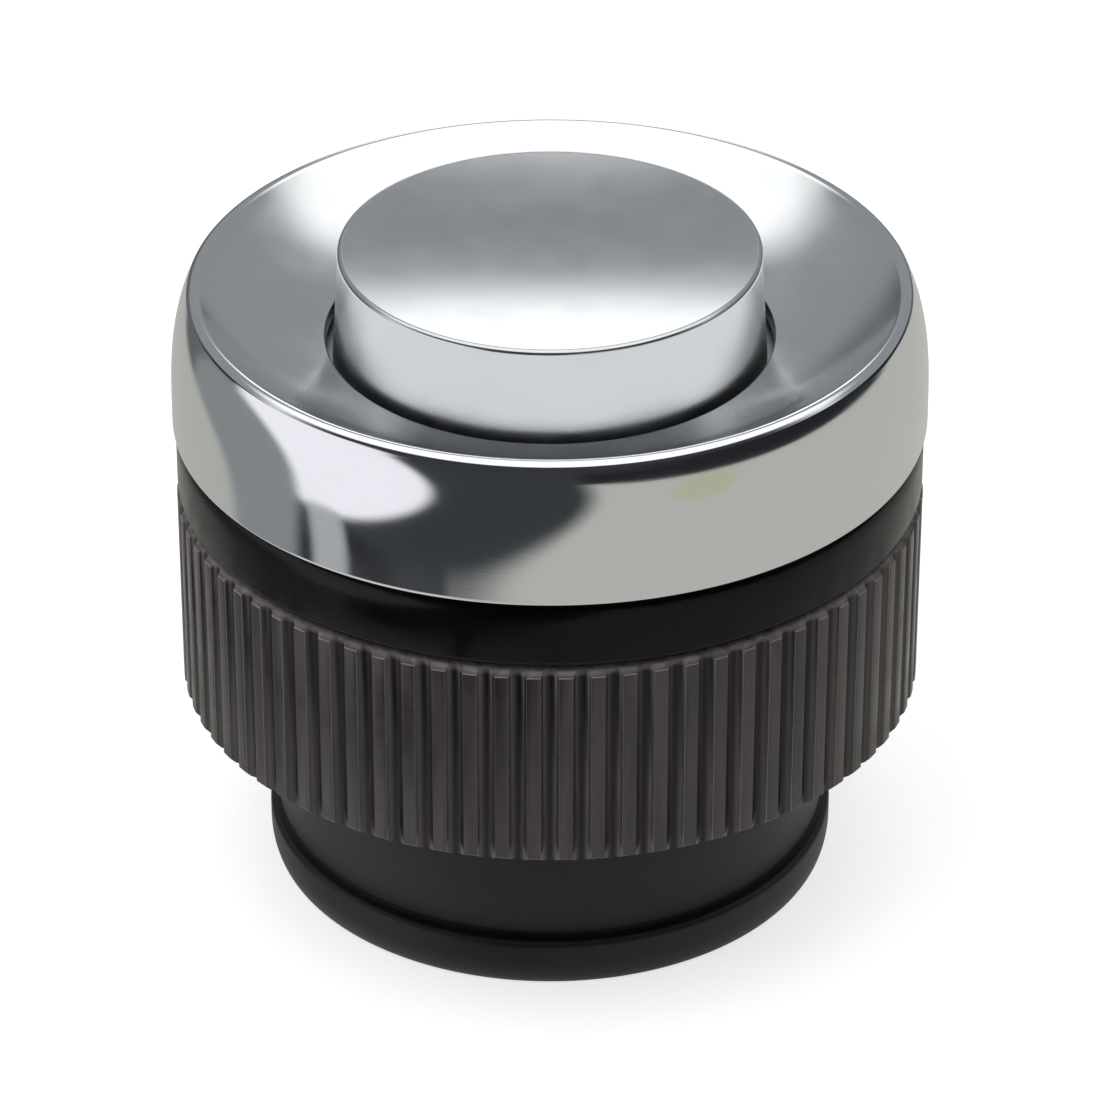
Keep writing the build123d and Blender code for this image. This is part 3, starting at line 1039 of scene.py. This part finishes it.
@dataclass
class ContactBase:
    """Moulded base with strips, rivets, clamp plates and screws."""

    def build(self) -> None:
        """Dresses the base and everything fixed to it."""
        dress_nodes(BASE_PHENOLIC, "contact_base")
        dress_nodes(SCREW_STEEL, "base_screws")
        for side in ("left", "right"):
            dress_nodes(CONTACT_BRASS, f"fixed_contact_{side}")
            dress_nodes(CONTACT_SILVER, f"contact_tip_{side}")
            dress_nodes(SCREW_STEEL, f"clamp_washer_{side}", f"terminal_screw_{side}")


@dataclass
class Housing:
    """Black housing with its flange and threaded barrel."""

    edge: float = 0.03
    barrel: float = 14.9
    thread_pitch: float = 1.5
    thread_bottom: float = 10.0
    turns: int = 7
    groove_depth: float = 0.4
    groove_width: float = 1.2
    steps_a_turn: int = 120

    def build(self) -> None:
        """Cuts the thread into a copy of the moulding with a bar wound along it."""
        shell = work_copy("housing", "housing_threaded", self.edge)
        cutter = wind(
            "thread_cutter",
            4,
            (self.groove_depth, self.groove_width / 2),
            (self.barrel, self.thread_bottom),
            self.thread_pitch,
            self.turns,
            self.steps_a_turn,
        )
        apply_modifier(shell, "BOOLEAN", operation="DIFFERENCE", object=cutter, solver="EXACT")
        bpy.data.objects.remove(cutter)
        settle(shell, "housing", HOUSING_ABS)
        bpy.ops.object.shade_smooth_by_angle(angle=SMOOTH_ANGLE)
        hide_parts("housing")


@dataclass
class Clamp:
    """Fluted nut and its washer."""

    edge: float = 0.06

    def build(self) -> None:
        """Breaks the edges of the nut's flutes, as a mould does, and dresses nut and washer."""
        nut = work_copy("knurled_nut", "nut_fluted", self.edge)
        settle(nut, "nut", NUT_NYLON)
        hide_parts("knurled_nut")
        dress_nodes(WASHER_FIBRE, "thrust_washer")


@dataclass
class RearBoot:
    """Rubber boot that closes the back."""

    radius: float = 13.8
    height: float = 10.9
    top_chamfer: float = 0.35
    lip_radius: float = 14.24
    lip_height: float = 2.6
    lip_round: float = 0.36
    groove_depth: float = 0.1
    groove_height: float = 0.22
    toe_in: float = 0.5
    toe_rise: float = 1.4
    toe_steps: int = 16
    lip_steps: int = 8
    bore: float = 12.45
    floor: float = 1.8
    entry: float = 3.1
    collar: float = 4.2
    collar_top: float = 2.8
    facets: int = 192

    def toe_point(self, share: float) -> Pair:
        """Gives a point of the rounded toe.

        Args:
            share: Way from the underside to the upright side.

        Returns:
            Radius and height.
        """
        angle = math.pi / 2 * share
        out = self.lip_radius - self.toe_in + self.toe_in * math.sin(angle)
        return out, self.toe_rise * (1 - math.cos(angle))

    def build(self) -> None:
        """Turns the boot with its lip, groove and wire inlet."""
        groove = self.radius - self.groove_depth
        outline = HalfSection().to((self.entry, self.collar_top), (self.entry, 0))
        outline.to(*(self.toe_point(step / self.toe_steps) for step in range(self.toe_steps + 1)))
        outline.to((self.lip_radius, self.lip_height - self.lip_round))
        lip_top = (self.lip_radius - self.lip_round, self.lip_height)
        outline.bow(lip_top, self.lip_round * QUARTER_SAG, self.lip_steps)
        outline.to(
            (groove, self.lip_height + self.groove_height / 3),
            (groove, self.lip_height + self.groove_height),
            (self.radius, self.lip_height + 2 * self.groove_height),
            (self.radius, self.height - self.top_chamfer),
            (self.radius - self.top_chamfer, self.height),
            (self.bore, self.height),
            (self.bore, self.floor),
            (self.collar, self.floor),
            (self.collar, self.collar_top),
        )
        boot = turn("rear_boot_turned", outline, self.facets)
        settle(boot, "housing", BOOT_RUBBER)
        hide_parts("rear_boot")


# Studio


class Facing(Enum):
    """Side of the studio from which a card's bearing is counted."""

    CAMERA = 0
    BACK = 1


class Outline(Enum):
    """Outline of a card."""

    ROUND = 1
    SQUARE = 2
    SHARP = 3


@dataclass(frozen=True)
class Card:
    """Soft-edged card or lamp that the metal reflects.

    Attributes:
        facing: Side from which the bearing is counted.
        bearing: Degrees to the right of that side, as the camera sees it.
        height: Degrees above the object's horizon.
        half_width: Half of its width in degrees.
        half_height: Half of its height in degrees.
        tone: sRGB colour.
        strength: Brightness.
        tilt: Turn in its own plane in degrees.
        softness: Share of its half size over which its edge fades.
        outline: Round, square with round corners, or square with sharper ones.
    """

    facing: Facing
    bearing: float
    height: float
    half_width: float
    half_height: float
    tone: str
    strength: float = 1.0
    tilt: float = 0.0
    softness: float = 0.1
    outline: Outline = Outline.ROUND

    def paint(self, tree: Tree, directions: Mapping[Facing, Socket], under: Socket) -> Socket:
        """Lays the card over what was painted before.

        Args:
            tree: The world's node tree.
            directions: Bearing and height in degrees, from each side.
            under: Colour painted so far.

        Returns:
            Colour with the card on it.
        """
        local = add_node(
            tree,
            "Mapping",
            {
                "Location": (self.bearing, self.height, 0),
                "Rotation": (0, 0, math.radians(self.tilt)),
                "Scale": (self.half_width, self.half_height, 1),
            },
            {"Vector": directions[self.facing]},
            vector_type="TEXTURE",
        ).outputs[0]
        for _ in range(self.outline.value - 1):
            local = add_node(
                tree, "VectorMath", links={0: local, 1: local}, operation="MULTIPLY"
            ).outputs[0]
        reach = add_node(tree, "VectorMath", links={0: local, 1: local}, operation="DOT_PRODUCT")
        power = 2**self.outline.value
        mask = add_node(
            tree,
            "MapRange",
            between(((1 - self.softness) ** power, (1 + self.softness) ** power), (1, 0)),
            {"Value": reach.outputs["Value"]},
            interpolation_type="SMOOTHSTEP",
        )
        over = add_node(
            tree,
            "Mix",
            {7: linear(self.tone, self.strength)},
            {0: mask, 6: under},
            data_type="RGBA",
        )
        return over.outputs[2]


@dataclass
class Studio:
    """White room with cards round the object, and a pale table under it; lengths in metres."""

    room_level: float = 0.8
    table_size: float = 3.0
    table_tones: tuple[str, str] = ("#c4c4c3", "#c9c9c8")
    table_clouds_a_metre: float = 30.0
    table_lift: float = 0.7
    key_place: tuple[float, float, float] = (-0.25, -0.15, 0.6)
    key_aim: float = 0.015
    key_size: float = 0.45
    key_power: float = 0.9
    cards: tuple[Card, ...] = field(
        default_factory=lambda: (
            # lamp overhead, round the whole sky
            *(
                Card(facing, 0, 78, 190, 30, "#ffffff", 1.32, outline=Outline.SHARP)
                for facing in Facing
            ),
            # grey sweep behind, which the dish and the back of the button show
            Card(Facing.BACK, 0, 6.5, 82, 37, "#93979a", softness=0.09, outline=Outline.SQUARE),
            # dark room beyond the table, paler at both sides
            Card(Facing.CAMERA, 0, -10, 172, 31, "#26272b", softness=0.03),
            Card(Facing.CAMERA, 150, -12, 24, 16, "#6f7070", softness=0.3),
            Card(Facing.CAMERA, -152, -10, 31, 22, "#686a6b", softness=0.3),
            # table under everything
            *(
                Card(facing, 0, -62, 190, 28, "#d8d8d4", softness=0.03, outline=Outline.SHARP)
                for facing in Facing
            ),
            # table top towards the camera's right, and a faint stain of colour on it
            Card(
                Facing.CAMERA, 75, -36, 106, 36, "#c1c1bb",
                tilt=-7, softness=0.015, outline=Outline.SHARP,
            ),
            Card(Facing.CAMERA, 45, -4, 9, 6, "#bdbda3", softness=0.5),
            # dark figure of the camera
            Card(Facing.CAMERA, -35, 0, 47, 33, "#3b3e41"),
            # lamp at the left, its grey skirt, a pale streak under it, and the table's far left
            Card(Facing.CAMERA, -70, -4, 36, 21, "#fbfaff", 1.1, softness=0.08),
            Card(Facing.CAMERA, -105, -21, 26, 20, "#8e9293", softness=0.12),
            Card(Facing.CAMERA, -70, -30, 4, 4, "#b4b6b8", softness=0.9, outline=Outline.SQUARE),
            Card(Facing.CAMERA, -150, -33, 39, 17, "#babab4"),
            # dark wall over the camera, which draws a line under the front of the button's rim
            Card(Facing.CAMERA, 0, 33, 85, 17, "#3a3b3f", softness=0.2, outline=Outline.SQUARE),
            # strip lamp behind, which lights the front of the button
            Card(Facing.BACK, 0, 12.5, 6, 10.5, "#ffffff", 1.9, softness=0.3),
        )
    )

    def directions(self, tree: Tree) -> dict[Facing, Socket]:
        """Works out where each ray goes, in degrees round and above the object.

        Args:
            tree: The world's node tree.

        Returns:
            Bearing and height as a vector, counted from each side.
        """
        ray = add_node(tree, "TexCoord").outputs["Generated"]
        parts = add_node(tree, "SeparateXYZ", links={"Vector": ray})
        away = add_node(tree, "Math", {1: -1.0}, {0: parts.outputs["Y"]}, operation="MULTIPLY")
        rise = add_node(tree, "Math", links={0: parts.outputs["Z"]}, operation="ARCSINE")
        made: dict[Facing, Socket] = {}
        for facing, ahead in ((Facing.CAMERA, away.outputs[0]), (Facing.BACK, parts.outputs["Y"])):
            bearing = add_node(
                tree, "Math", links={0: parts.outputs["X"], 1: ahead}, operation="ARCTAN2"
            )
            angles = add_node(tree, "CombineXYZ", links={"X": bearing, "Y": rise})
            degrees = add_node(
                tree, "VectorMath", {"Scale": math.degrees(1)}, {0: angles}, operation="SCALE"
            )
            made[facing] = degrees.outputs[0]
        return made

    def light_room(self) -> None:
        """Makes the white room and paints the cards, which only the camera doesn't see."""
        world = bpy.data.worlds.new("studio")
        bpy.context.scene.world = world
        world.use_nodes = True
        tree = world.node_tree
        tree.nodes.clear()
        path = add_node(tree, "LightPath")
        room = add_node(
            tree,
            "Mix",
            {6: linear("#ffffff", self.room_level), 7: linear("#ffffff")},
            {0: path.outputs["Is Glossy Ray"]},
            data_type="RGBA",
        )
        paint = room.outputs[2]
        directions = self.directions(tree)
        for card in self.cards:
            paint = card.paint(tree, directions, paint)
        shown = add_node(
            tree,
            "Mix",
            {7: linear("#ffffff")},
            {0: path.outputs["Is Camera Ray"], 6: paint},
            data_type="RGBA",
        )
        light = add_node(tree, "Background", links={"Color": shown.outputs[2]})
        add_node(tree, "OutputWorld", links={"Surface": light})

    def lay_table(self) -> None:
        """Lays the pale table, which keeps the object's soft shadow."""
        deselect_all()
        bpy.ops.mesh.primitive_plane_add(size=self.table_size, location=(0, 0, 0))
        table = bpy.context.object
        table.name = "table"
        table.visible_glossy = False
        surface = bpy.data.materials.new("table_matt_white")
        surface.use_nodes = True
        tree = surface.node_tree
        tree.nodes.clear()
        path = add_node(tree, "LightPath")
        clouds = add_node(tree, "TexNoise", {"Scale": self.table_clouds_a_metre, "Detail": 2.0})
        tone = add_node(
            tree,
            "Mix",
            {6: linear(self.table_tones[0]), 7: linear(self.table_tones[1])},
            {0: clouds},
            data_type="RGBA",
        )
        matt = add_node(tree, "BsdfDiffuse", links={"Color": tone.outputs[2]})
        glow = add_node(
            tree, "Emission", {"Color": linear("#ffffff"), "Strength": self.table_lift}
        )
        lifted = add_node(tree, "AddShader", links={0: matt, 1: glow})
        mixed = add_node(
            tree, "MixShader", links={0: path.outputs["Is Camera Ray"], 1: matt, 2: lifted}
        )
        add_node(tree, "OutputMaterial", links={"Surface": mixed})
        table.data.materials.append(surface)

    def hang_key(self) -> None:
        """Hangs the large soft key lamp, over and to the left."""
        deselect_all()
        bpy.ops.object.light_add(type="AREA", location=self.key_place)
        key = bpy.context.object
        key.name = "key_softbox"
        key.data.shape = "DISK"
        key.data.size = self.key_size
        key.data.energy = self.key_power
        sight = Vector((0, 0, self.key_aim)) - Vector(self.key_place)
        key.rotation_euler = sight.to_track_quat("-Z", "Y").to_euler()
        key.visible_glossy = False

    def build(self) -> None:
        """Sets up room, table and key lamp."""
        bpy.context.scene.view_settings.view_transform = "Standard"
        self.light_room()
        self.lay_table()
        self.hang_key()


@dataclass
class PhotoCamera:
    """Long lens that looks down on the object from the front.

    Attributes:
        place: Camera's place in millimetres.
        aim_height: Height of the point on the object's axis in the middle of the frame.
        lens: Focal length.
        frame_width: Width of the frame behind the lens.
        clip: Nearest and farthest distance that it sees, in metres.
    """

    place: tuple[float, float, float] = (0.0, -240.86, 162.78)
    aim_height: float = 16.46
    lens: float = 185.24
    frame_width: float = 36.0
    clip: Pair = (0.01, 10.0)

    def build(self) -> None:
        """Adds the camera and makes it the scene's own."""
        deselect_all()
        spot = Vector(self.place) * MM
        bpy.ops.object.camera_add(location=spot)
        camera = bpy.context.object
        camera.name = "photo_camera"
        sight = Vector((spot.x, 0, self.aim_height * MM)) - spot
        camera.rotation_euler = sight.to_track_quat("-Z", "Y").to_euler()
        camera.data.sensor_width = self.frame_width
        camera.data.lens = self.lens
        camera.data.clip_start, camera.data.clip_end = self.clip
        bpy.context.scene.camera = camera


def main() -> None:
    """Builds the object's groups, then the studio and the camera."""
    logging.basicConfig(level=logging.INFO, format="%(name)s %(message)s")
    groups: tuple[Any, ...] = (
        Housing(),
        Bezel(),
        Button(),
        ReturnSpring(),
        ContactBridge(),
        ContactBase(),
        Clamp(),
        RearBoot(),
        Studio(),
        PhotoCamera(),
    )
    for group in groups:
        group.build()
        LOG.info("built %s", type(group).__name__)


if __name__ == "__main__":
    main()
